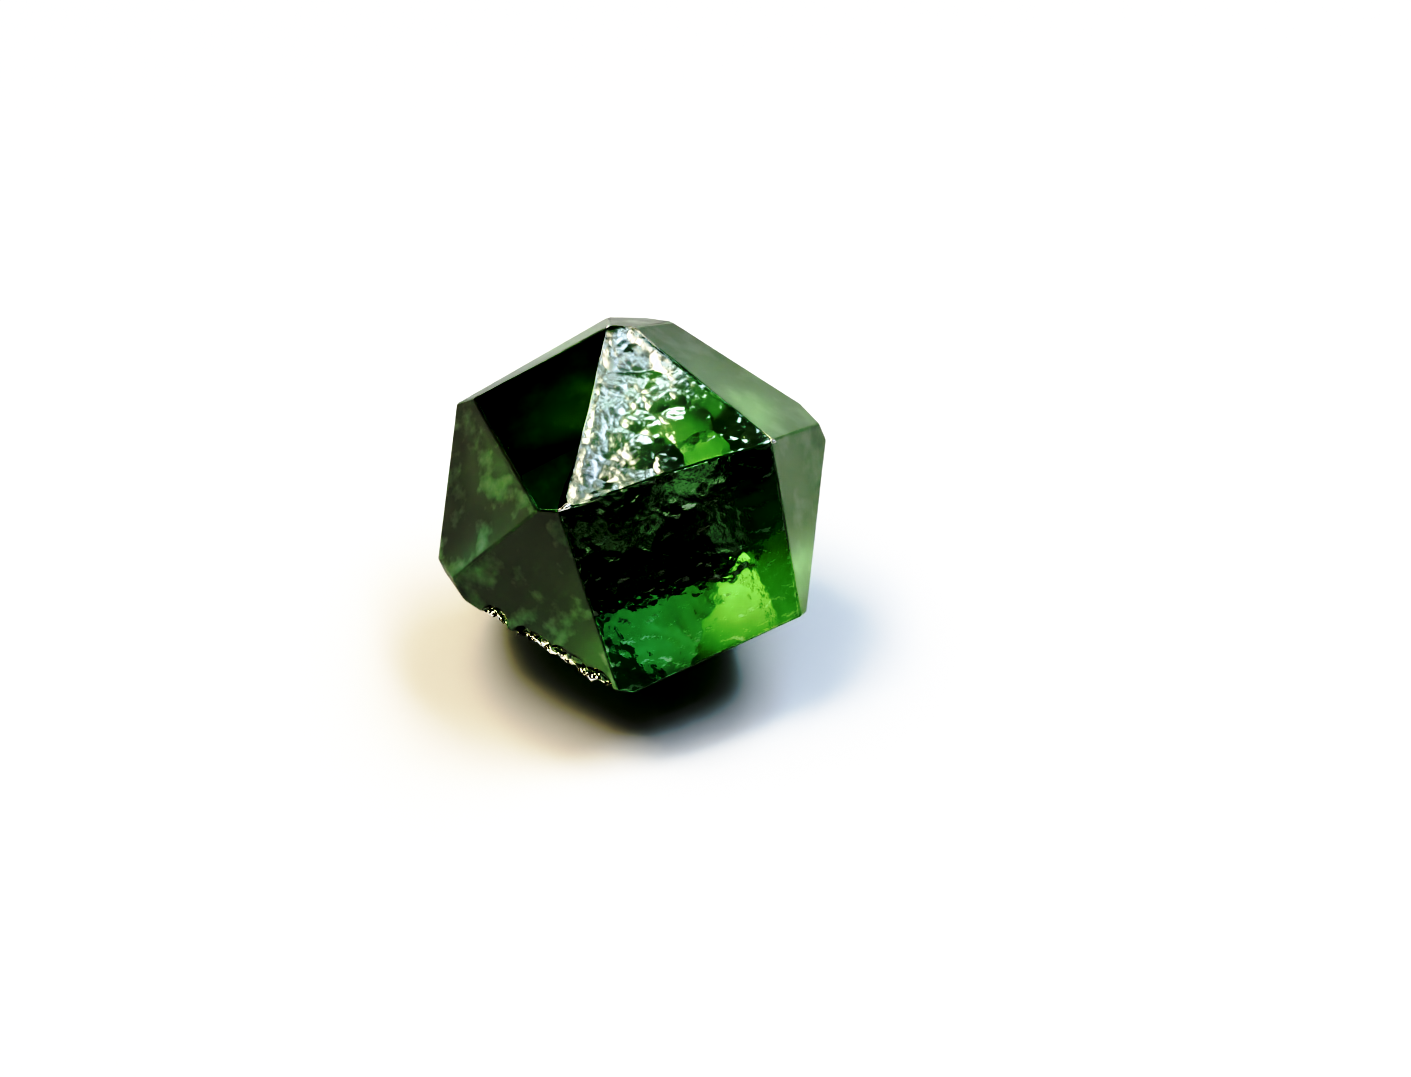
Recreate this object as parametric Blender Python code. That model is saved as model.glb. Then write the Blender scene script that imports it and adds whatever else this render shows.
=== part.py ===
"""A rough diamond: one natural crystal, about 6 mm across, lying on one of its own flat faces.

The crystal is a distorted twelve-sided form whose faces have split in two, so most of its faces come in
opposite pairs. Each face is given by the way that it looks (azimuth from +X towards +Y, elevation above the
level) and by its distance from the middle of the crystal. The flat-faced form is cut from a block, its skin
is refined, and the relief that growth, etching and wear have left on it is sunk into that skin: hillocks on
the slightly domed top face, low swellings on the sides, blunted edges, and small chips along the lower left
edge.

The origin lies on the face that the crystal rests on, under the middle of the crystal, with +Z up and the
front towards -Y.
"""

import math
import random

import bmesh
import bpy
from mathutils import Matrix, Vector, noise

MM = 0.001

# Driving dimensions, in millimetres and degrees
BLOCK_SIDE = 12.0
REST_FACE_DISTANCE = 1.97
# Opposite pairs: name, opposite name, azimuth, elevation, distance, distance of the opposite face
PAIRED_FACES = (
    ("top", "rest", 0, 90, 1.97, REST_FACE_DISTANCE),
    ("front", "lower_rear", -70, 34, 1.86, 1.45),
    ("upper_left", "under_right", 169, 67, 2.08, 2.08),
    ("left", "lower_right", -168, 35, 2.41, 2.17),
    ("front_left", "rear", -120, 19, 2.35, 1.98),
    ("upper_rear_right", "under_left", 44, 51, 2.38, 2.16),
    ("right", "lower_left", -19, 21, 2.62, 2.56),
)
# Faces with no opposite: name, azimuth, elevation, distance
SINGLE_FACES = (
    ("upper_rear_left", 127, 39, 2.63),
    ("under_front", -60, -42, 2.44),
    ("blunt_right", 34, 8, 2.94),
    ("blunt_left", -152, -12, 3.05),
    ("blunt_rear", 84, 44, 2.76),
    ("blunt_front", -104, -38, 2.78),
)

# Refined edge lengths of the skin
TOP_FACET = 0.15
CHIPPED_FACET = 0.15
SIDE_FACET = 0.36
EDGE_FACET = 0.30

# The top face's dome: where it is highest, and how deep it has fallen at its reach from there
DOME_MIDDLE = (0.25, 0.5)
DOME_REACH = 2.2
DOME_DEPTH = 0.06

# Rolling of the top face
ROLLING_SPACING = 0.85
ROLLING_DEPTH = 0.08

# Hillocks on the top face: their spacing, the depth of the dips between them, how far and how widely their
# pattern is bent, and the rim where they are lower, with the share of their depth that is left there
HILLOCK_SPACING = 0.42
HILLOCK_DEPTH = 0.09
HILLOCK_BEND = 0.20
HILLOCK_BEND_SPACING = 0.5
HILLOCK_RIM = 0.22
HILLOCK_RIM_SHARE = 0.3

# Low swellings on the other faces
SWELLING_SPACING = 1.1
SWELLING_DEPTH = 0.022

# Wear of the edges: its greatest depth, the spacing of its patches, and its least and greatest share
EDGE_WEAR = 0.020
EDGE_WEAR_SPACING = 0.55
EDGE_WEAR_SHARES = (0.2, 1.0)

# Chips along the lower left edge: how many, their least and greatest radius, their depth as a share of it,
# and the reach around each one that is refined
CHIP_COUNT = 9
CHIP_RADIUS = (0.16, 0.34)
CHIP_DEPTH_SHARE = 0.36
CHIP_REACH_SHARE = 1.5
CHIP_SEED = 11

SKIN_COLOUR = (0.20, 0.27, 0.21, 1.0)
DIAMOND_IOR = 2.417
SKIN_ROUGHNESS = 0.12

# Tolerances: a point this near to a face's plane lies on it, corners this near are one corner, and faces
# that bend less than this at an edge are one flat face
ON_FACE = 0.002
SAME_POINT = 0.02
FLAT_ANGLE = 0.5


def look(azimuth, elevation):
    """The unit vector that looks along an azimuth and an elevation, both in degrees."""
    turn, rise = math.radians(azimuth), math.radians(elevation)
    return Vector((math.cos(turn) * math.cos(rise), math.sin(turn) * math.cos(rise), math.sin(rise)))


def crystal_faces():
    """Every crystal face as name: (outward direction, distance from the middle)."""
    faces = {}
    for name, opposite, azimuth, elevation, distance, opposite_distance in PAIRED_FACES:
        outward = look(azimuth, elevation)
        faces[name] = (outward, distance)
        faces[opposite] = (-outward, opposite_distance)
    for name, azimuth, elevation, distance in SINGLE_FACES:
        faces[name] = (look(azimuth, elevation), distance)
    return faces


def corner(faces, *names):
    """The point where three crystal faces meet."""
    outwards = Matrix([faces[name][0] for name in names])
    distances = Vector([faces[name][1] for name in names])
    return outwards.inverted() @ distances


def cut_block(faces):
    """A block cut by every crystal face in turn."""
    skin = bmesh.new()
    bmesh.ops.create_cube(skin, size=BLOCK_SIDE)
    for outward, distance in faces.values():
        everything = skin.verts[:] + skin.edges[:] + skin.faces[:]
        cut = bmesh.ops.bisect_plane(
            skin, geom=everything, plane_co=outward * distance, plane_no=outward, clear_outer=True)
        rim = [item for item in cut["geom_cut"] if isinstance(item, bmesh.types.BMEdge)]
        bmesh.ops.contextual_create(skin, geom=rim)
    bmesh.ops.remove_doubles(skin, verts=skin.verts, dist=SAME_POINT)
    bmesh.ops.recalc_face_normals(skin, faces=skin.faces)
    return skin


def depths_below(point, faces):
    """How much deeper a point lies inside each crystal face than inside the nearest one: name: depth."""
    depths = {name: distance - outward.dot(point) for name, (outward, distance) in faces.items()}
    nearest = min(depths.values())
    return {name: depth - nearest for name, depth in depths.items()}


def facet_limit(middle, faces, chips):
    """The longest edge that the skin may have around a point."""
    depths = depths_below(middle, faces)
    if depths["rest"] < ON_FACE:
        return SIDE_FACET
    if depths["top"] < ON_FACE:
        return TOP_FACET
    if any((middle - centre).length < CHIP_REACH_SHARE * radius for centre, radius in chips):
        return CHIPPED_FACET
    second_nearest = sorted(depths.values())[1]
    return EDGE_FACET if second_nearest < ON_FACE else SIDE_FACET


def refine(skin, faces, chips):
    """Split the skin's long edges until each one is as short as its place asks."""
    bmesh.ops.triangulate(skin, faces=skin.faces)
    while True:
        long_edges = []
        for edge in skin.edges:
            middle = (edge.verts[0].co + edge.verts[1].co) / 2
            if edge.calc_length() > facet_limit(middle, faces, chips):
                long_edges.append(edge)
        if not long_edges:
            break
        bmesh.ops.subdivide_edges(skin, edges=long_edges, cuts=1)
        bmesh.ops.triangulate(skin, faces=skin.faces)
    flat_edges = [edge for edge in skin.edges if edge.calc_face_angle(math.pi) < math.radians(FLAT_ANGLE)]
    bmesh.ops.beautify_fill(skin, faces=skin.faces, edges=flat_edges, method="AREA")


def lower_left_chips(faces):
    """The chips along the edge between the front left face and the one under it: (centre, radius)."""
    start = corner(faces, "front_left", "under_left", "blunt_left")
    end = corner(faces, "front_left", "under_left", "blunt_front")
    draw = random.Random(CHIP_SEED)
    chips = []
    for index in range(CHIP_COUNT):
        # The chips crowd towards the lower corner
        share = math.sqrt((index + draw.random()) / CHIP_COUNT)
        chips.append((start.lerp(end, share), draw.uniform(*CHIP_RADIUS)))
    return chips


def fade(depth, reach):
    """0 at a depth of 0, rising smoothly to 1 at the reach."""
    share = min(max(depth / reach, 0.0), 1.0)
    return share * share * (3.0 - 2.0 * share)


def swell(point, spacing):
    """Soft noise from 0 to 1 at a point, with swells about one spacing apart."""
    return 0.5 + 0.5 * noise.noise(point / spacing)


def hillocks(point, rim_depth):
    """How far the top face is sunk at a point: it is slightly domed, it rolls, and it has hillocks."""
    dome = ((point.xy - Vector(DOME_MIDDLE)).length / DOME_REACH) ** 2
    bend = HILLOCK_BEND * swell(point, HILLOCK_BEND_SPACING)
    to_crest = noise.voronoi((point + Vector((bend, bend, bend))) / HILLOCK_SPACING)[0][0]
    share = HILLOCK_RIM_SHARE + (1.0 - HILLOCK_RIM_SHARE) * fade(rim_depth, HILLOCK_RIM)
    relief = ROLLING_DEPTH * swell(point, ROLLING_SPACING) + HILLOCK_DEPTH * to_crest ** 2
    return DOME_DEPTH * dome + share * relief


def swellings(point, rim_depth):
    """How far a side face is sunk between its low swellings at a point."""
    return SWELLING_DEPTH * swell(point, SWELLING_SPACING) * fade(rim_depth, SWELLING_SPACING)


def wear(point, rim_depth):
    """How far an edge is worn down at a point: nothing away from the edges."""
    least, greatest = EDGE_WEAR_SHARES
    share = least + (greatest - least) * swell(point, EDGE_WEAR_SPACING)
    return EDGE_WEAR * share * (1.0 - fade(rim_depth, EDGE_WEAR))


def chipping(point, chips):
    """How far the chips are sunk into the skin at a point."""
    depth = 0.0
    for centre, radius in chips:
        nearness = 1.0 - (point - centre).length / radius
        depth = max(depth, CHIP_DEPTH_SHARE * radius * nearness)
    return depth


def sink_relief(skin, faces, chips):
    """Sink the relief into the skin, and leave the face that the crystal rests on flat."""
    moves = []
    for vertex in skin.verts:
        point = vertex.co.copy()
        depths = depths_below(point, faces)
        if depths["rest"] < ON_FACE:
            continue
        rim_depth = sorted(depths.values())[1]
        inward = Vector()
        for name, depth in depths.items():
            if depth < ON_FACE:
                inward -= faces[name][0]
        sink = wear(point, rim_depth) + chipping(point, chips)
        if depths["top"] < ON_FACE:
            sink += hillocks(point, rim_depth)
        else:
            sink += swellings(point, rim_depth)
        moves.append((vertex, point + inward.normalized() * max(sink, 0.0)))
    for vertex, place in moves:
        vertex.co = place


def diamond_material():
    """Clear grey-green diamond."""
    material = bpy.data.materials.new("diamond_crystal")
    material.use_nodes = True
    shader = material.node_tree.nodes["Principled BSDF"]
    shader.inputs["Base Color"].default_value = SKIN_COLOUR
    shader.inputs["Metallic"].default_value = 0.0
    shader.inputs["Roughness"].default_value = SKIN_ROUGHNESS
    shader.inputs["IOR"].default_value = DIAMOND_IOR
    shader.inputs["Transmission Weight"].default_value = 1.0
    return material


def build():
    """Model the crystal as one object at its real size."""
    for old in list(bpy.data.objects):
        bpy.data.objects.remove(old, do_unlink=True)
    collection = bpy.data.collections.new("rough_diamond")
    bpy.context.scene.collection.children.link(collection)

    faces = crystal_faces()
    chips = lower_left_chips(faces)
    skin = cut_block(faces)
    refine(skin, faces, chips)
    sink_relief(skin, faces, chips)
    bmesh.ops.translate(skin, verts=skin.verts, vec=(0.0, 0.0, REST_FACE_DISTANCE))
    bmesh.ops.scale(skin, verts=skin.verts, vec=(MM, MM, MM))

    mesh = bpy.data.meshes.new("rough_diamond")
    skin.to_mesh(mesh)
    skin.free()
    mesh.materials.append(diamond_material())
    crystal = bpy.data.objects.new("rough_diamond", mesh)
    collection.objects.link(crystal)
    return crystal


build()
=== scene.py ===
"""The looks of a rough diamond: its fine skin, its clear green body, a pale floor and studio light.

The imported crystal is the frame. The skin here is grown from the same crystal faces as the solid, in
millimetres, with the same dome, swellings, wear and chips, and it stands for the solid in the picture. It is
far finer. Its hillocks stand in the same places, but they are lower, and they fade out towards the right.
"""

import logging
import math
import random
from dataclasses import dataclass, field
from enum import Enum

import bmesh
import bpy
import numpy as np
from mathutils import Matrix, Vector, noise


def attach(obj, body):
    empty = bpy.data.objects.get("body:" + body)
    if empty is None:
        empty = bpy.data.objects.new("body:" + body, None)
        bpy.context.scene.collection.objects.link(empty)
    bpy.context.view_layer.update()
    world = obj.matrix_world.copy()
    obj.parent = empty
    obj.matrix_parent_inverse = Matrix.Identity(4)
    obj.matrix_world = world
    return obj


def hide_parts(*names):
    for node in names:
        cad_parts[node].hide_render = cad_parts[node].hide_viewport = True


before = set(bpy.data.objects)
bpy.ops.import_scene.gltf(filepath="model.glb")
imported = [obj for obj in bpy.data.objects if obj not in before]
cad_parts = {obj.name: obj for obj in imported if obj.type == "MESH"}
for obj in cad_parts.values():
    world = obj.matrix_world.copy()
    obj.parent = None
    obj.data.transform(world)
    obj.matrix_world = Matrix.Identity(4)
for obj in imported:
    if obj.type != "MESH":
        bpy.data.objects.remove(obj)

MM = 0.001
NODE = "rough_diamond"
BODY = "root"

# Light that reaches the film, and how bright it is printed
PRINT_CURVE = ((0.11, 0.003), (0.18, 0.028), (0.25, 0.16), (0.42, 0.48), (0.70, 0.96), (0.80, 1.0))
# The number of the curve that holds for all colours
ALL_COLOURS = 3

LOG = logging.getLogger("rough_diamond")


class Surface(Enum):
    """How growth and etching have left a crystal face: its share of fine relief, and its roughness."""

    CLEAR = (0.0, 0.03)
    SATIN = (0.0, 0.34)
    WAVY = (1.80, 0.08)
    HILLOCKY = (1.0, 0.26)


def linear_colour(sheet: str) -> tuple[float, float, float, float]:
    """Turn an sRGB hex colour into the linear colour that a shader takes.

    Args:
        sheet: the colour as six hex digits, such as "8fa08a".

    Returns:
        Linear red, green, blue and an alpha of 1.
    """
    channels = [int(sheet[start:start + 2], 16) / 255 for start in (0, 2, 4)]
    linear = [c / 12.92 if c <= 0.04045 else ((c + 0.055) / 1.055) ** 2.4 for c in channels]
    return (*linear, 1.0)


def add_node(tree: bpy.types.NodeTree, kind: str, settings: dict | None = None,
             values: dict | None = None, links: dict | None = None) -> bpy.types.Node:
    """Add a node with its settings, its constant inputs and its links.

    Args:
        tree: the node tree that the node goes in.
        kind: the node's type name.
        settings: the node's own properties.
        values: constant input values by socket name or number.
        links: output sockets to join to inputs, by input name or number.

    Returns:
        The new node.
    """
    node = tree.nodes.new(kind)
    for name, value in (settings or {}).items():
        setattr(node, name, value)
    for name, value in (values or {}).items():
        node.inputs[name].default_value = value
    for name, output in (links or {}).items():
        tree.links.new(output, node.inputs[name])
    return node


def look(azimuth: float, elevation: float) -> tuple[float, float, float]:
    """The unit vector that looks along an azimuth and an elevation, both in degrees."""
    turn, rise = math.radians(azimuth), math.radians(elevation)
    return math.cos(turn) * math.cos(rise), math.sin(turn) * math.cos(rise), math.sin(rise)


@dataclass(frozen=True)
class CrystalFace:
    """One flat face of the crystal, by the way that it looks and its distance from the middle, in mm.

    How dark its skin is made, from 0 to 1, is partly the brown stain of natural radiation and partly painted
    shade, set face by face to darken the views through the stone that pass this face.
    """

    name: str
    azimuth: float
    elevation: float
    distance: float
    surface: Surface = Surface.SATIN
    # Skin darkening: partly natural stain, partly painted shade over the views through the stone
    stain_and_shade: float = 0.90

    def outward(self) -> np.ndarray:
        """The unit vector that points out of the face."""
        return np.array(look(self.azimuth, self.elevation))


# The last number of a face darkens its skin: partly natural stain, partly painted shade over what is seen
# through the stone
CRYSTAL_FACES = (
    CrystalFace("top", 0, 90, 1.97, Surface.HILLOCKY, 0.40),
    CrystalFace("rest", 180, -90, 1.97, stain_and_shade=0.80),
    CrystalFace("front", -70, 34, 1.86, Surface.WAVY, 0.25),
    CrystalFace("lower_rear", 110, -34, 1.45, stain_and_shade=1.0),
    CrystalFace("upper_left", 169, 67, 2.08, Surface.CLEAR, 0.60),
    CrystalFace("under_right", -11, -67, 2.08),
    CrystalFace("left", -168, 35, 2.41),
    CrystalFace("lower_right", 12, -35, 2.17),
    CrystalFace("front_left", -120, 19, 2.35),
    CrystalFace("rear", 60, -19, 1.98),
    CrystalFace("upper_rear_right", 44, 51, 2.38, stain_and_shade=0.40),
    CrystalFace("under_left", -136, -51, 2.16),
    CrystalFace("right", -19, 21, 2.62, stain_and_shade=0.45),
    CrystalFace("lower_left", 161, -21, 2.56),
    CrystalFace("upper_rear_left", 127, 39, 2.63, stain_and_shade=0.30),
    CrystalFace("under_front", -60, -42, 2.44),
    CrystalFace("blunt_right", 34, 8, 2.94),
    CrystalFace("blunt_left", -152, -12, 3.05),
    CrystalFace("blunt_rear", 84, 44, 2.76),
    CrystalFace("blunt_front", -104, -38, 2.78),
)


@dataclass
class CrystalForm:
    """The flat-faced form that the stone grew to, in mm from the middle of the crystal."""

    faces: tuple[CrystalFace, ...] = CRYSTAL_FACES
    block_side: float = 12.0
    same_point: float = 0.02
    outwards: np.ndarray = field(init=False)
    distances: np.ndarray = field(init=False)

    def __post_init__(self) -> None:
        """Gather the faces' directions and distances into arrays."""
        self.outwards = np.array([face.outward() for face in self.faces])
        self.distances = np.array([face.distance for face in self.faces])

    def index(self, name: str) -> int:
        """The number of a face by its name."""
        return [face.name for face in self.faces].index(name)

    def depths(self, points: np.ndarray) -> np.ndarray:
        """How far each point lies inside each face, in mm."""
        return self.distances - points @ self.outwards.T

    def corner(self, *names: str) -> np.ndarray:
        """The point where three faces meet."""
        rows = [self.index(name) for name in names]
        return np.linalg.solve(self.outwards[rows], self.distances[rows])

    def cut(self) -> bmesh.types.BMesh:
        """Cut a block by every face in turn.

        Returns:
            The closed flat-faced form.
        """
        skin = bmesh.new()
        bmesh.ops.create_cube(skin, size=self.block_side)
        for outward, distance in zip(self.outwards, self.distances):
            everything = skin.verts[:] + skin.edges[:] + skin.faces[:]
            cut = bmesh.ops.bisect_plane(skin, geom=everything, plane_co=Vector(outward * distance),
                                         plane_no=Vector(outward), clear_outer=True)
            rim = [item for item in cut["geom_cut"] if isinstance(item, bmesh.types.BMEdge)]
            bmesh.ops.contextual_create(skin, geom=rim)
        bmesh.ops.remove_doubles(skin, verts=skin.verts, dist=self.same_point)
        bmesh.ops.recalc_face_normals(skin, faces=skin.faces)
        return skin


def fade(depths: np.ndarray, reach: float) -> np.ndarray:
    """0 at a depth of 0, rising smoothly to 1 at the reach."""
    share = np.clip(depths / reach, 0.0, 1.0)
    return share * share * (3.0 - 2.0 * share)


def noise_at(points: np.ndarray, spacing: float) -> np.ndarray:
    """Soft noise from 0 to 1 at each point, with swells about one spacing apart."""
    return np.array([0.5 + 0.5 * noise.noise(Vector(point / spacing)) for point in points])


def crest_distance(points: np.ndarray, spacing: float) -> np.ndarray:
    """How far each point is from the nearest hillock's crest, as a share of their spacing."""
    return np.array([noise.voronoi(Vector(point / spacing))[0][0] for point in points])


@dataclass
class Relief:
    """What growth, etching and wear have sunk into the faces, with depths and spacings in mm.

    The smooth middle is the place on the top face where the hillocks have faded out to their smooth share.
    """

    dome_middle: tuple[float, float] = (0.25, 0.5)
    dome_reach: float = 2.2
    dome_depth: float = 0.06
    rolling_spacing: float = 0.85
    rolling_depth: float = 0.06
    hillock_spacing: float = 0.42
    hillock_depth: float = 0.055
    hillock_bend: float = 0.20
    hillock_bend_spacing: float = 0.5
    hillock_rim: float = 0.22
    hillock_rim_share: float = 0.3
    smooth_middle: tuple[float, float] = (1.1, -0.1)
    smooth_reach: float = 2.0
    smooth_share: float = 0.20
    swelling_spacing: float = 1.1
    swelling_depth: float = 0.022
    edge_wear: float = 0.020
    edge_wear_spacing: float = 0.55
    edge_wear_shares: tuple[float, float] = (0.2, 1.0)
    chip_count: int = 9
    chip_radius: tuple[float, float] = (0.16, 0.34)
    chip_depth_share: float = 0.36
    chip_seed: int = 11
    chips: list[tuple[np.ndarray, float]] = field(default_factory=list)

    def place_chips(self, form: CrystalForm) -> None:
        """Spread the chips along the lower left edge, closer together towards its lower end.

        Args:
            form: the flat-faced form, whose corners end the edge.
        """
        start = form.corner("front_left", "under_left", "blunt_left")
        end = form.corner("front_left", "under_left", "blunt_front")
        draw = random.Random(self.chip_seed)
        for index in range(self.chip_count):
            share = math.sqrt((index + draw.random()) / self.chip_count)
            self.chips.append((start + (end - start) * share, draw.uniform(*self.chip_radius)))

    def roughed(self, points: np.ndarray) -> np.ndarray:
        """How much of its relief the top face has at each point: least around its smooth middle."""
        away = np.linalg.norm(points[:, :2] - self.smooth_middle, axis=1)
        return self.smooth_share + (1.0 - self.smooth_share) * fade(away, self.smooth_reach)

    def hillocks(self, points: np.ndarray, rims: np.ndarray) -> np.ndarray:
        """How far the top face is sunk: it is slightly domed, it rolls, and it has hillocks.

        Args:
            points: places on the top face.
            rims: how far each place is from the next face.

        Returns:
            The depth at each place.
        """
        dome = np.sum((points[:, :2] - self.dome_middle) ** 2, axis=1) / self.dome_reach ** 2
        rolling = noise_at(points, self.rolling_spacing)
        bend = self.hillock_bend * noise_at(points, self.hillock_bend_spacing)
        crest = crest_distance(points + bend[:, None], self.hillock_spacing)
        share = self.hillock_rim_share + (1.0 - self.hillock_rim_share) * fade(rims, self.hillock_rim)
        relief = self.rolling_depth * rolling + self.hillock_depth * crest ** 2
        return self.dome_depth * dome + share * self.roughed(points) * relief

    def swellings(self, points: np.ndarray, rims: np.ndarray) -> np.ndarray:
        """How far a side face is sunk between its low swellings."""
        swells = noise_at(points, self.swelling_spacing)
        return self.swelling_depth * swells * fade(rims, self.swelling_spacing)

    def wear(self, points: np.ndarray, rims: np.ndarray) -> np.ndarray:
        """How far the edges are worn down: nothing away from them.

        Args:
            points: places on the skin.
            rims: how far each place is from the next face.

        Returns:
            The depth at each place.
        """
        least, greatest = self.edge_wear_shares
        patch = noise_at(points, self.edge_wear_spacing)
        return self.edge_wear * (least + (greatest - least) * patch) * (1.0 - fade(rims, self.edge_wear))

    def chipping(self, points: np.ndarray) -> np.ndarray:
        """How far the chips are sunk into the skin.

        Args:
            points: places on the skin.

        Returns:
            The depth at each place.
        """
        depth = np.zeros(len(points))
        for centre, radius in self.chips:
            nearness = 1.0 - np.linalg.norm(points - centre, axis=1) / radius
            depth = np.maximum(depth, self.chip_depth_share * radius * nearness)
        return depth


@dataclass
class FineSkin:
    """The crystal's skin, refined until its relief shows, with edge lengths in mm."""

    form: CrystalForm
    relief: Relief
    top_facet: float = 0.036
    edge_facet: float = 0.034
    chip_facet: float = 0.034
    side_facet: float = 0.080
    edge_band: float = 0.045
    chip_reach_share: float = 1.3
    chip_full_depth: float = 0.03
    on_face: float = 0.005
    split_rounds: int = 8
    slide_rounds: int = 40
    slide_keep: float = 0.97

    def limits(self, middles: np.ndarray) -> np.ndarray:
        """The longest edge that the skin may have around each point.

        Args:
            middles: the middles of the skin's edges.

        Returns:
            The longest length at each one, in mm.
        """
        depths = self.form.depths(middles)
        depths -= depths.min(axis=1, keepdims=True)
        limit = np.full(len(middles), self.side_facet)
        limit[np.sort(depths, axis=1)[:, 1] < self.edge_band] = self.edge_facet
        limit[depths[:, self.form.index("top")] < self.on_face] = self.top_facet
        for centre, radius in self.relief.chips:
            near = np.linalg.norm(middles - centre, axis=1) < self.chip_reach_share * radius
            limit[near] = self.chip_facet
        return limit

    def refine(self, skin: bmesh.types.BMesh) -> None:
        """Split the skin's long edges, round by round, until each one is as short as its place asks.

        Args:
            skin: the flat-faced form, changed in place.
        """
        bmesh.ops.triangulate(skin, faces=skin.faces)
        for _ in range(self.split_rounds):
            edges = list(skin.edges)
            ends = np.array([(*edge.verts[0].co, *edge.verts[1].co) for edge in edges])
            lengths = np.linalg.norm(ends[:, :3] - ends[:, 3:], axis=1)
            long_ones = np.flatnonzero(lengths > self.limits((ends[:, :3] + ends[:, 3:]) / 2))
            if not len(long_ones):
                break
            bmesh.ops.subdivide_edges(skin, edges=[edges[number] for number in long_ones], cuts=1)
            bmesh.ops.triangulate(skin, faces=[face for face in skin.faces if len(face.verts) > 3])

    def slide(self, shifts: np.ndarray, held: np.ndarray, pairs: np.ndarray,
              outwards: np.ndarray) -> np.ndarray:
        """Carry the edges' sideways moves a little way into the faces, so that no facet folds over.

        Args:
            shifts: each vertex's move so far.
            held: which vertices lie on an edge and keep their move.
            pairs: the mesh's edges as vertex numbers.
            outwards: the outward direction of each vertex's own face.

        Returns:
            The moves with the faces' vertices slid along.
        """
        across = np.where(held[:, None], shifts, 0.0)
        count = np.bincount(pairs.ravel(), minlength=len(shifts))[:, None]
        for _ in range(self.slide_rounds):
            total = np.zeros_like(across)
            np.add.at(total, pairs[:, 0], across[pairs[:, 1]])
            np.add.at(total, pairs[:, 1], across[pairs[:, 0]])
            mean = self.slide_keep * total / count
            mean -= outwards * np.sum(mean * outwards, axis=1)[:, None]
            across = np.where(held[:, None], shifts, mean)
        return np.where(held[:, None], shifts, shifts + across)

    def sink(self, skin: bmesh.types.BMesh) -> dict[str, np.ndarray]:
        """Sink the relief into the skin, and leave the face that the crystal rests on flat.

        Args:
            skin: the refined form, changed in place.

        Returns:
            For each vertex, how etched, frosted, darkened and chipped the skin is there; the darkening is
            partly natural stain and partly painted shade.
        """
        form, relief = self.form, self.relief
        points = np.array([vertex.co[:] for vertex in skin.verts])
        depths = form.depths(points)
        depths -= depths.min(axis=1, keepdims=True)
        touching = depths < self.on_face
        rims = np.sort(depths, axis=1)[:, 1]
        nearest = np.argmin(depths, axis=1)
        top, rest = form.index("top"), form.index("rest")
        sinks = np.zeros_like(depths)
        sides = relief.swellings(points, rims)
        sinks[touching] = np.repeat(sides[:, None], depths.shape[1], axis=1)[touching]
        on_top = np.flatnonzero(touching[:, top])
        sinks[on_top, top] = relief.hillocks(points[on_top], rims[on_top])
        sinks[touching[:, rest]] = 0.0

        shifts = np.zeros_like(points)
        for faces_met in np.unique(touching, axis=0):
            members = np.flatnonzero((touching == faces_met).all(axis=1))
            rows = np.flatnonzero(faces_met)
            shifts[members] = -sinks[np.ix_(members, rows)] @ np.linalg.pinv(form.outwards[rows]).T
        held = touching.sum(axis=1) > 1
        pairs = np.array([(edge.verts[0].index, edge.verts[1].index) for edge in skin.edges])
        shifts = self.slide(shifts, held, pairs, form.outwards[nearest])

        inward = -(touching @ form.outwards)
        inward /= np.linalg.norm(inward, axis=1)[:, None]
        chipping = relief.chipping(points)
        dents = relief.wear(points, rims) + chipping
        dents[touching[:, rest]] = 0.0
        for vertex, place in zip(skin.verts, points + shifts + inward * dents[:, None]):
            vertex.co = place
        surfaces = np.array([face.surface.value for face in form.faces])[nearest]
        kept = np.where(nearest == top, relief.roughed(points), 1.0)
        # The darkened measure is partly natural stain and partly painted shade
        return {"etched": surfaces[:, 0] * kept,
                "frosted": surfaces[:, 1] * kept,
                "stained_and_shaded": np.array([face.stain_and_shade for face in form.faces])[nearest],
                "chipped": fade(chipping, self.chip_full_depth)}

    def build(self) -> bpy.types.Mesh:
        """Cut, refine and sink the skin, and stand it on the floor at its real size.

        Returns:
            A closed mesh in metres, with its surface measures as point attributes.
        """
        self.relief.place_chips(self.form)
        skin = self.form.cut()
        self.refine(skin)
        skin.verts.index_update()
        measures = self.sink(skin)
        height = self.form.distances[self.form.index("rest")]
        stand = Matrix.Scale(MM, 4) @ Matrix.Translation((0.0, 0.0, height))
        bmesh.ops.transform(skin, verts=skin.verts, matrix=stand)
        mesh = bpy.data.meshes.new("diamond_skin")
        skin.to_mesh(mesh)
        skin.free()
        for name, values in measures.items():
            mesh.attributes.new(name, "FLOAT", "POINT").data.foreach_set("value", values.astype(np.float32))
        mesh.shade_smooth()
        return mesh


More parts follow.
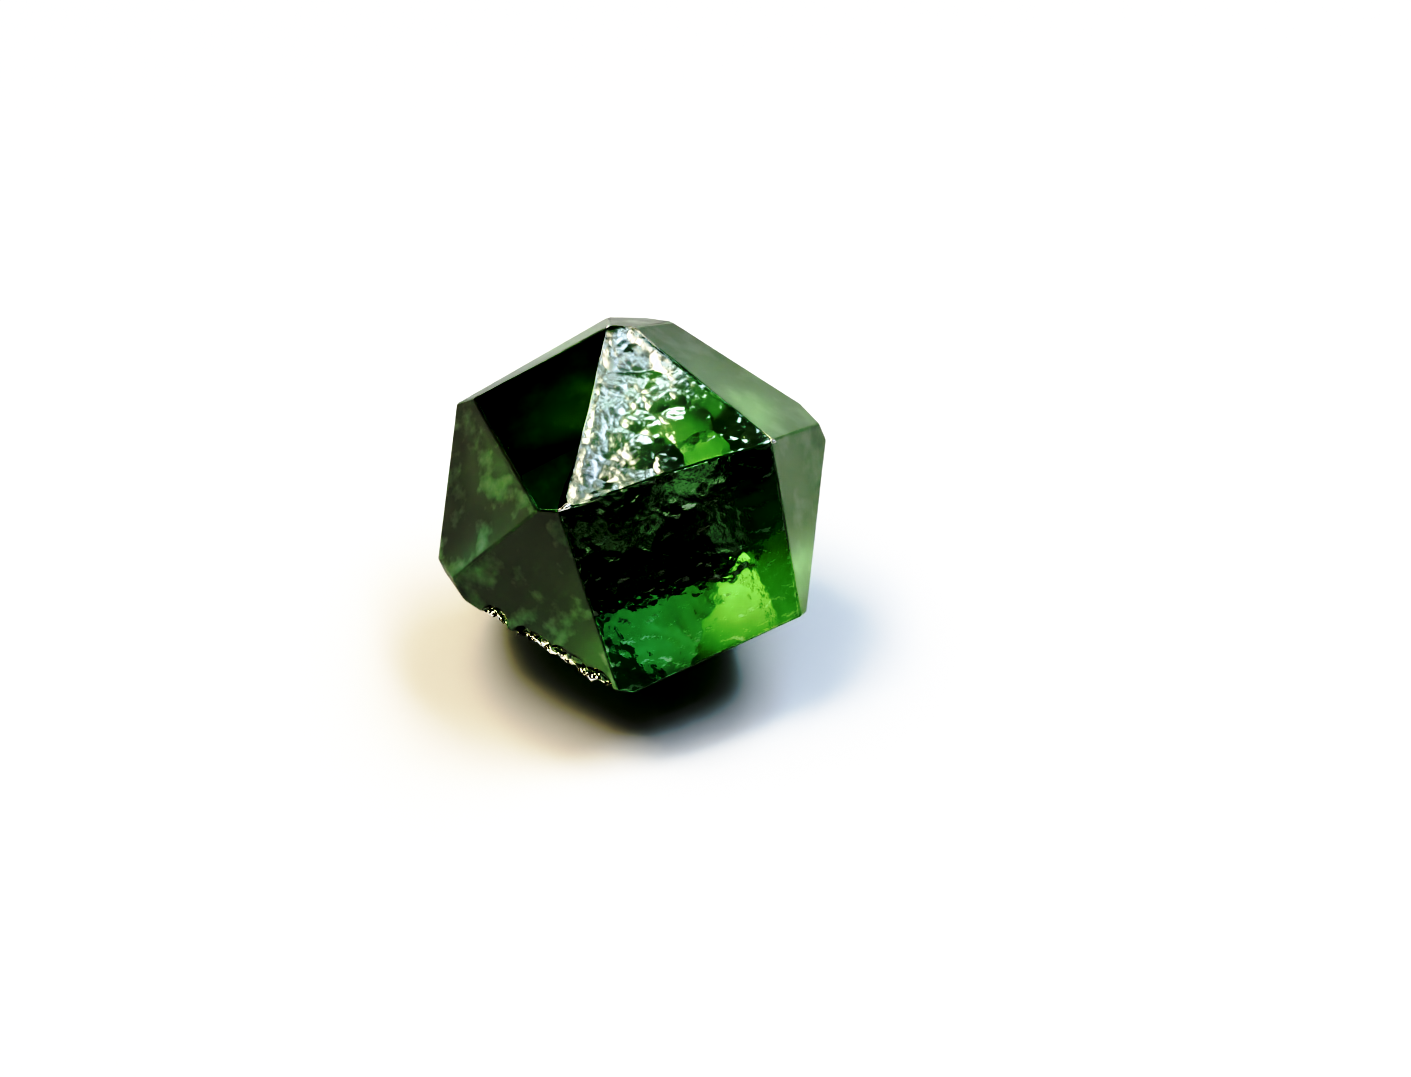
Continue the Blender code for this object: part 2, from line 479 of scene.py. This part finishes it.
@dataclass(frozen=True)
class FineEtching:
    """Fine scales on the etched faces and splinters in the chips, sunk into the skin by Geometry Nodes.

    Spacings and depths are in mm.
    """

    scale_spacing: float = 0.14
    scale_depth: float = 0.014
    splinter_spacing: float = 0.14
    splinter_depth: float = 0.09
    seed: int = 5

    def build_tree(self, material: bpy.types.Material) -> bpy.types.NodeTree:
        """Build the node tree that sinks the fine relief along the skin's normals.

        Args:
            material: the material that the finished skin gets.

        Returns:
            The node tree, with its sizes as named inputs.
        """
        tree = bpy.data.node_groups.new("Fine etching", "GeometryNodeTree")
        tree.interface.new_socket("Geometry", in_out="INPUT", socket_type="NodeSocketGeometry")
        for name in self.inputs():
            tree.interface.new_socket(name, in_out="INPUT", socket_type="NodeSocketFloat")
        tree.interface.new_socket("Geometry", in_out="OUTPUT", socket_type="NodeSocketGeometry")
        given = add_node(tree, "NodeGroupInput")
        place = add_node(tree, "GeometryNodeInputPosition")
        normal = add_node(tree, "GeometryNodeInputNormal")
        sinks = [self.add_sink(tree, given, place, kind, measure)
                 for kind, measure in (("Scale", "etched"), ("Splinter", "chipped"))]
        depth = add_node(tree, "ShaderNodeMath", {"operation": "ADD"}, links={0: sinks[0], 1: sinks[1]})
        inward = add_node(tree, "ShaderNodeMath", {"operation": "MULTIPLY"}, {1: -1.0},
                          {0: depth.outputs["Value"]})
        move = add_node(tree, "ShaderNodeVectorMath", {"operation": "SCALE"},
                        links={0: normal.outputs["Normal"], "Scale": inward.outputs["Value"]})
        moved = add_node(tree, "GeometryNodeSetPosition",
                         links={"Geometry": given.outputs["Geometry"], "Offset": move.outputs["Vector"]})
        real = add_node(tree, "GeometryNodeRealizeInstances", links={"Geometry": moved.outputs["Geometry"]})
        dressed = add_node(tree, "GeometryNodeSetMaterial", values={"Material": material},
                           links={"Geometry": real.outputs["Geometry"]})
        add_node(tree, "NodeGroupOutput", links={"Geometry": dressed.outputs["Geometry"]})
        return tree

    def add_sink(self, tree: bpy.types.NodeTree, given: bpy.types.Node, place: bpy.types.Node,
                 kind: str, measure: str) -> bpy.types.NodeSocket:
        """Add the nodes for one kind of relief: cells whose middles stand proud, where the measure allows.

        Args:
            tree: the node tree.
            given: the tree's input node.
            place: the node that gives each point's position.
            kind: "Scale" or "Splinter", the first word of the inputs that size it.
            measure: the point attribute that says where this relief is.

        Returns:
            The output socket with the depth in metres.
        """
        spaced = add_node(tree, "ShaderNodeMath", {"operation": "DIVIDE"}, {0: 1.0},
                          {1: given.outputs[f"{kind} Spacing"]})
        cells = add_node(tree, "ShaderNodeTexVoronoi", {"voronoi_dimensions": "4D"},
                         links={"Vector": place.outputs["Position"], "Scale": spaced.outputs["Value"],
                                "W": given.outputs["Seed"]})
        shown = add_node(tree, "GeometryNodeInputNamedAttribute", {"data_type": "FLOAT"}, {"Name": measure})
        rounded = add_node(tree, "ShaderNodeMath", {"operation": "POWER"}, {1: 2.0},
                           {0: cells.outputs["Distance"]})
        share = add_node(tree, "ShaderNodeMath", {"operation": "MULTIPLY"},
                         links={0: rounded.outputs["Value"], 1: shown.outputs["Attribute"]})
        depth = add_node(tree, "ShaderNodeMath", {"operation": "MULTIPLY"},
                         links={0: share.outputs["Value"], 1: given.outputs[f"{kind} Depth"]})
        return depth.outputs["Value"]

    def inputs(self) -> dict[str, float]:
        """The tree's inputs by name, with lengths in metres."""
        return {"Scale Spacing": self.scale_spacing * MM, "Scale Depth": self.scale_depth * MM,
                "Splinter Spacing": self.splinter_spacing * MM, "Splinter Depth": self.splinter_depth * MM,
                "Seed": float(self.seed)}

    def apply(self, crystal: bpy.types.Object, material: bpy.types.Material) -> None:
        """Sink the fine relief into an object's mesh for good.

        Args:
            crystal: the object, whose mesh is replaced.
            material: the material that the mesh gets.
        """
        tree = self.build_tree(material)
        modifier = crystal.modifiers.new("Fine etching", "NODES")
        modifier.node_group = tree
        for socket in tree.interface.items_tree:
            if socket.name in self.inputs():
                modifier[socket.identifier] = self.inputs()[socket.name]
        evaluated = crystal.evaluated_get(bpy.context.evaluated_depsgraph_get())
        mesh = bpy.data.meshes.new_from_object(evaluated)
        crystal.modifiers.remove(modifier)
        crystal.data = mesh
        mesh.materials.clear()
        mesh.materials.append(material)


@dataclass(frozen=True)
class DiamondFinish:
    """Natural diamond, as grown: clear, hard and very refractive, so it mirrors and bends light strongly.

    Its colour lies in its body: a strong green absorption that leaves short ways through it bright green and
    turns long ones black. Its etched faces scatter a little, and its clear ones look like dark windows.
    Its skin is darkened in patches that look dark and grey: partly brown stains left by natural radiation,
    and partly painted shade that darkens the views through the stone.
    """

    ior: float = 2.417
    tint: str = "f2f6f0"
    # Dark brown skin colour: partly natural stain, partly painted shade over the views through the stone
    stain_and_shade_colour: str = "241e1b"
    body_colour: str = "9cdca2"
    body_density: float = 235.0
    patch_roughness: tuple[float, float] = (0.9, 1.1)
    patch_range: tuple[float, float] = (0.25, 0.75)
    stain_and_shade_range: tuple[float, float] = (0.26, 0.50)
    stain_and_shade_least: float = 0.45
    chip_roughness: float = 0.15
    patch_spacing: float = 0.55
    patch_detail: float = 4.0
    patch_depth: float = 0.020
    grain_spacing: float = 0.05
    grain_detail: float = 2.0
    grain_depth: float = 0.0022

    def build(self) -> bpy.types.Material:
        """Build the node material.

        Returns:
            The finished material.
        """
        material = bpy.data.materials.new("Natural green diamond, etched skin")
        material.use_nodes = True
        tree = material.node_tree
        tree.nodes.clear()
        place = add_node(tree, "ShaderNodeTexCoord").outputs["Object"]
        etched = add_node(tree, "ShaderNodeAttribute", {"attribute_name": "etched"}).outputs["Fac"]
        frosted = add_node(tree, "ShaderNodeAttribute", {"attribute_name": "frosted"}).outputs["Fac"]
        stained_and_shaded = add_node(tree, "ShaderNodeAttribute", {"attribute_name": "stained_and_shaded"}).outputs["Fac"]
        chipped = add_node(tree, "ShaderNodeAttribute", {"attribute_name": "chipped"}).outputs["Fac"]
        patches = add_node(tree, "ShaderNodeTexNoise",
                           values={"Scale": 1.0 / (self.patch_spacing * MM), "Detail": self.patch_detail},
                           links={"Vector": place}).outputs["Fac"]
        grain = add_node(tree, "ShaderNodeTexNoise",
                         values={"Scale": 1.0 / (self.grain_spacing * MM), "Detail": self.grain_detail},
                         links={"Vector": place}).outputs["Fac"]

        patchy = add_node(tree, "ShaderNodeMapRange",
                          values={"From Min": self.patch_range[0], "From Max": self.patch_range[1],
                                  "To Min": self.patch_roughness[0], "To Max": self.patch_roughness[1]},
                          links={"Value": patches})
        matt = add_node(tree, "ShaderNodeMath", {"operation": "MULTIPLY"},
                        links={0: frosted, 1: patchy.outputs["Result"]})
        fresh = add_node(tree, "ShaderNodeMapRange", values={"To Min": 1.0, "To Max": self.chip_roughness},
                         links={"Value": chipped})
        roughness = add_node(tree, "ShaderNodeMath", {"operation": "MULTIPLY"},
                             links={0: matt.outputs["Value"], 1: fresh.outputs["Result"]})
        # Patchy skin darkening mixed into the colour: partly natural stain, partly painted shade over the
        # views through the stone
        cover = add_node(tree, "ShaderNodeMapRange",
                         values={"From Min": self.stain_and_shade_range[0], "From Max": self.stain_and_shade_range[1],
                                 "To Min": self.stain_and_shade_least},
                         links={"Value": patches})
        stain_and_shade = add_node(tree, "ShaderNodeMath", {"operation": "MULTIPLY"},
                         links={0: stained_and_shaded, 1: cover.outputs["Result"]})
        colour = add_node(tree, "ShaderNodeMix", {"data_type": "RGBA"},
                          {6: linear_colour(self.tint), 7: linear_colour(self.stain_and_shade_colour)},
                          {"Factor": stain_and_shade.outputs["Value"]})

        swells = add_node(tree, "ShaderNodeMath", {"operation": "MULTIPLY"}, links={0: etched, 1: patches})
        low = add_node(tree, "ShaderNodeBump", values={"Strength": 1.0, "Distance": self.patch_depth * MM},
                       links={"Height": swells.outputs["Value"]})
        fine = add_node(tree, "ShaderNodeMath", {"operation": "MULTIPLY"}, links={0: etched, 1: grain})
        bump = add_node(tree, "ShaderNodeBump", values={"Strength": 1.0, "Distance": self.grain_depth * MM},
                        links={"Height": fine.outputs["Value"], "Normal": low.outputs["Normal"]})
        shader = add_node(tree, "ShaderNodeBsdfPrincipled",
                          values={"Metallic": 0.0, "IOR": self.ior, "Transmission Weight": 1.0},
                          links={"Base Color": colour.outputs[2], "Roughness": roughness.outputs["Value"],
                                 "Normal": bump.outputs["Normal"]})
        body = add_node(tree, "ShaderNodeVolumeAbsorption",
                        values={"Color": linear_colour(self.body_colour), "Density": self.body_density})
        add_node(tree, "ShaderNodeOutputMaterial",
                 links={"Surface": shader.outputs["BSDF"], "Volume": body.outputs["Volume"]})
        return material


@dataclass
class RoughDiamond:
    """The whole stone: one crystal with its fine skin."""

    form: CrystalForm = field(default_factory=CrystalForm)
    relief: Relief = field(default_factory=Relief)
    etching: FineEtching = field(default_factory=FineEtching)
    finish: DiamondFinish = field(default_factory=DiamondFinish)

    def build(self) -> bpy.types.Object:
        """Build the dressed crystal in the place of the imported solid.

        Returns:
            The crystal's object, at the origin, with its place in its mesh.
        """
        mesh = FineSkin(self.form, self.relief).build()
        crystal = bpy.data.objects.new("diamond_crystal_skin", mesh)
        bpy.context.scene.collection.objects.link(crystal)
        self.etching.apply(crystal, self.finish.build())
        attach(crystal, BODY)
        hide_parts(NODE)
        return crystal


@dataclass(frozen=True)
class SoftLight:
    """A soft light that looks at the stone from an azimuth and an elevation in degrees, with sizes in mm.

    Its power is in watts. A card lights only the stone, and leaves the floor and its shadows alone.
    """

    name: str
    azimuth: float
    elevation: float
    distance: float
    width: float
    height: float
    power: float
    colour: str
    is_card: bool = False

    def build(self) -> bpy.types.Object:
        """Stand the light in its place.

        Returns:
            The light's object.
        """
        way = Vector(look(self.azimuth, self.elevation))
        data = bpy.data.lights.new(self.name, "AREA")
        data.shape = "RECTANGLE"
        data.size = self.width * MM
        data.size_y = self.height * MM
        data.energy = self.power
        data.color = linear_colour(self.colour)[:3]
        light = bpy.data.objects.new(self.name, data)
        light.location = way * self.distance * MM
        light.rotation_euler = way.to_track_quat("Z", "Y").to_euler()
        light.visible_diffuse = not self.is_card
        bpy.context.scene.collection.objects.link(light)
        return light


# A warm window behind on the left, a cool one behind on the right, a large card in front on the left, and
# two small cards close above the top face
STUDIO_LIGHTS = (
    SoftLight("window_warm", 138, 53, 110, 68, 54, 0.076, "fff2de"),
    SoftLight("window_cool", 42, 50, 110, 74, 56, 0.084, "e0ecff"),
    SoftLight("card_left", -136, 47, 110, 44, 44, 0.17, "fff8d0", is_card=True),
    SoftLight("card_top", 90, 57, 14.4, 2.0, 1.4, 0.00006, "e8f6ff", is_card=True),
    SoftLight("card_rim", 126, 62, 13.35, 3.4, 3.0, 0.00006, "f4f8e4", is_card=True),
)


@dataclass(frozen=True)
class WhiteCard:
    """Matt white card: it scatters light evenly, so the floor looks plain and the shadow on it soft."""

    colour: str = "f4f3f0"
    roughness: float = 0.9
    shine: float = 0.1

    def build(self) -> bpy.types.Material:
        """Build the node material.

        Returns:
            The finished material.
        """
        material = bpy.data.materials.new("Matt white card")
        material.use_nodes = True
        shader = material.node_tree.nodes["Principled BSDF"]
        shader.inputs["Base Color"].default_value = linear_colour(self.colour)
        shader.inputs["Roughness"].default_value = self.roughness
        shader.inputs["Specular IOR Level"].default_value = self.shine
        return material


@dataclass
class Studio:
    """A pale floor, soft lights round the stone, a dim room, and the camera that looks down on it.

    Sizes are in mm, and the frame's are in pixels. The stone's width in both gives the picture its scale.
    """

    lights: tuple[SoftLight, ...] = STUDIO_LIGHTS
    floor_finish: WhiteCard = WhiteCard()
    floor_radius: float = 140.0
    floor_sides: int = 96
    floor_gap: float = 0.01
    camera_distance: float = 130.0
    camera_elevation: float = 55.0
    frame_width: int = 1411
    frame_height: int = 1077
    stone_pixel: tuple[float, float] = (635.0, 503.0)
    stone_width_pixels: float = 388.0
    stone_width: float = 6.0
    stone_middle_height: float = 1.97
    glow_azimuth: float = 140.0
    glow_elevation: float = 66.0
    glow_falloff: float = 8.0
    glow_strength: float = 0.5
    room_strength: float = 0.10
    room_colour: str = "ffffff"
    sensor: float = 36.0
    near_sight: float = 5.0
    far_sight: float = 5000.0

    def build_floor(self) -> bpy.types.Object:
        """Lay a round pale board just under the stone.

        Returns:
            The board's object.
        """
        board = bmesh.new()
        bmesh.ops.create_circle(board, cap_ends=True, radius=self.floor_radius * MM,
                                segments=self.floor_sides)
        mesh = bpy.data.meshes.new("floor_board")
        board.to_mesh(mesh)
        board.free()
        mesh.materials.append(self.floor_finish.build())
        floor = bpy.data.objects.new("floor_board", mesh)
        floor.location.z = -self.floor_gap * MM
        bpy.context.scene.collection.objects.link(floor)
        return floor

    def build_room(self) -> None:
        """Put a dim room round the stone, with a soft glow high on one side."""
        world = bpy.data.worlds.new("room")
        world.use_nodes = True
        tree = world.node_tree
        axis = look(self.glow_azimuth, self.glow_elevation)
        way = add_node(tree, "ShaderNodeTexCoord").outputs["Generated"]
        facing = add_node(tree, "ShaderNodeVectorMath", {"operation": "DOT_PRODUCT"}, {1: axis}, {0: way})
        kept = add_node(tree, "ShaderNodeMath", {"operation": "MAXIMUM"}, {1: 0.0},
                        {0: facing.outputs["Value"]})
        lobe = add_node(tree, "ShaderNodeMath", {"operation": "POWER"}, {1: self.glow_falloff},
                        {0: kept.outputs["Value"]})
        light = add_node(tree, "ShaderNodeMath", {"operation": "MULTIPLY_ADD"},
                         {1: self.glow_strength, 2: self.room_strength}, {0: lobe.outputs["Value"]})
        tree.links.new(light.outputs["Value"], tree.nodes["Background"].inputs["Strength"])
        tree.nodes["Background"].inputs["Color"].default_value = linear_colour(self.room_colour)
        bpy.context.scene.world = world

    def build_camera(self) -> bpy.types.Object:
        """Stand the camera where the photograph was taken from.

        Returns:
            The camera's object.
        """
        rise = math.radians(self.camera_elevation)
        back = Vector((0.0, -math.cos(rise), math.sin(rise)))
        right = Vector((1.0, 0.0, 0.0))
        up = back.cross(right)
        pixel = self.stone_width / self.stone_width_pixels
        middle = Vector((0.0, 0.0, self.stone_middle_height))
        across = (self.frame_width / 2 - self.stone_pixel[0]) * pixel
        down = (self.frame_height / 2 - self.stone_pixel[1]) * pixel
        aim = middle + right * across - up * down
        place = middle + back * self.camera_distance
        data = bpy.data.cameras.new("camera")
        data.sensor_width = self.sensor
        data.lens = self.sensor * self.camera_distance / (self.frame_width * pixel)
        data.clip_start = self.near_sight * MM
        data.clip_end = self.far_sight * MM
        camera = bpy.data.objects.new("camera", data)
        camera.location = place * MM
        camera.rotation_euler = (place - aim).to_track_quat("Z", "Y").to_euler()
        bpy.context.scene.collection.objects.link(camera)
        bpy.context.scene.camera = camera
        return camera


def set_print() -> None:
    """Print the picture as the photograph is: deep blacks, and a floor that is blown out to white."""
    settings = bpy.context.scene.view_settings
    settings.view_transform = "Standard"
    settings.use_curve_mapping = True
    curve = settings.curve_mapping.curves[ALL_COLOURS]
    for value, printed in PRINT_CURVE:
        curve.points.new(value, printed)
    settings.curve_mapping.update()


def main() -> None:
    """Build the studio and the stone, and log the number of lights and the stone's triangles."""
    logging.basicConfig(level=logging.INFO, format="%(message)s")
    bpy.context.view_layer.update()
    set_print()
    studio = Studio()
    studio.build_camera()
    studio.build_floor()
    studio.build_room()
    for light in studio.lights:
        light.build()
    LOG.info("studio: floor, room, camera and %d lights", len(studio.lights))
    crystal = RoughDiamond().build()
    LOG.info("%s: %d triangles", crystal.name, len(crystal.data.polygons))


if __name__ == "__main__":
    main()
